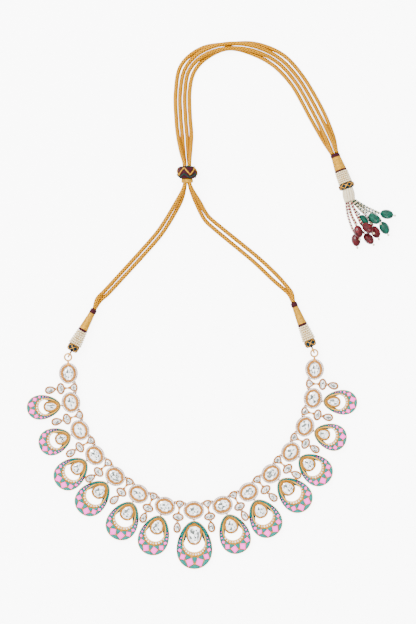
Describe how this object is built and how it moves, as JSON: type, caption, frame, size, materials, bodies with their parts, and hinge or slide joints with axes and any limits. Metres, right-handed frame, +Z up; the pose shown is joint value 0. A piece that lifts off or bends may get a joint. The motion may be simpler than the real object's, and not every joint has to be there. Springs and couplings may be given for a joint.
{
  "type": "collar necklace",
  "caption": "Collar of stone-set ovals and small cut stones with enamelled pear drops, on a corded neckline with a slider and a bead tassel, lying flat.",
  "frame": {"origin": "on the surface the necklace lies on, under the middle of the collar's footprint", "axes": "+Z up from the surface to the stones, +Y from the centre drop to the cord's end, +X to the right as the necklace is seen from above"},
  "size_m": [0.212, 0.2997, 0.0118],
  "materials": {
    "rose_gold": "polished",
    "enamelled_gold": "glossy enamel between gold edges",
    "clear_stone": "foil-backed, faceted",
    "gold_cord": "metallic braid",
    "maroon_thread": "wound thread",
    "dark_enamel": "glossy, with gold threads",
    "seed_beads": "opaque, glossy",
    "ruby": "carved, polished",
    "emerald": "carved, polished"
  },
  "bodies": {
    "root": {"oval_link_01": "rose_gold", "oval_link_02": "rose_gold", "oval_link_03": "rose_gold", "oval_link_04": "rose_gold", "oval_link_05": "rose_gold", "oval_link_06": "rose_gold", "oval_link_07": "rose_gold", "oval_link_08": "rose_gold", "oval_link_09": "rose_gold", "oval_link_10": "rose_gold", "oval_link_11": "rose_gold", "oval_link_12": "rose_gold", "oval_link_13": "rose_gold", "oval_link_14": "rose_gold", "oval_link_15": "rose_gold", "drop_frame_01": "enamelled_gold", "drop_frame_02": "enamelled_gold", "drop_frame_03": "enamelled_gold", "drop_frame_04": "enamelled_gold", "drop_frame_05": "enamelled_gold", "drop_frame_06": "enamelled_gold", "drop_frame_07": "enamelled_gold", "drop_frame_08": "enamelled_gold", "drop_frame_09": "enamelled_gold", "drop_frame_10": "enamelled_gold", "drop_frame_11": "enamelled_gold", "drop_frame_12": "enamelled_gold", "drop_frame_13": "enamelled_gold", "oval_stones": "clear_stone", "drop_stones": "clear_stone", "connector_links": "rose_gold", "connector_stones": "clear_stone", "pear_settings": "rose_gold", "pear_stones": "clear_stone", "cord_left_outer": "gold_cord", "cord_left_inner": "gold_cord", "cord_right_outer": "gold_cord", "cord_right_inner": "gold_cord", "slider": "maroon_thread", "slider_wrap": "gold_cord", "left_loop": "rose_gold", "left_knob": "dark_enamel", "left_sleeve": "seed_beads", "left_cone": "gold_cord", "left_ties": "maroon_thread", "right_loop": "rose_gold", "right_knob": "dark_enamel", "right_sleeve": "seed_beads", "right_cone": "gold_cord", "right_ties": "maroon_thread", "tassel_ties": "maroon_thread", "tassel_cone": "gold_cord", "tassel_sleeve": "seed_beads", "tassel_turban": "maroon_thread", "tassel_strings": "seed_beads", "ruby_beads": "ruby", "emerald_beads": "emerald"}
  },
  "joints": []
}
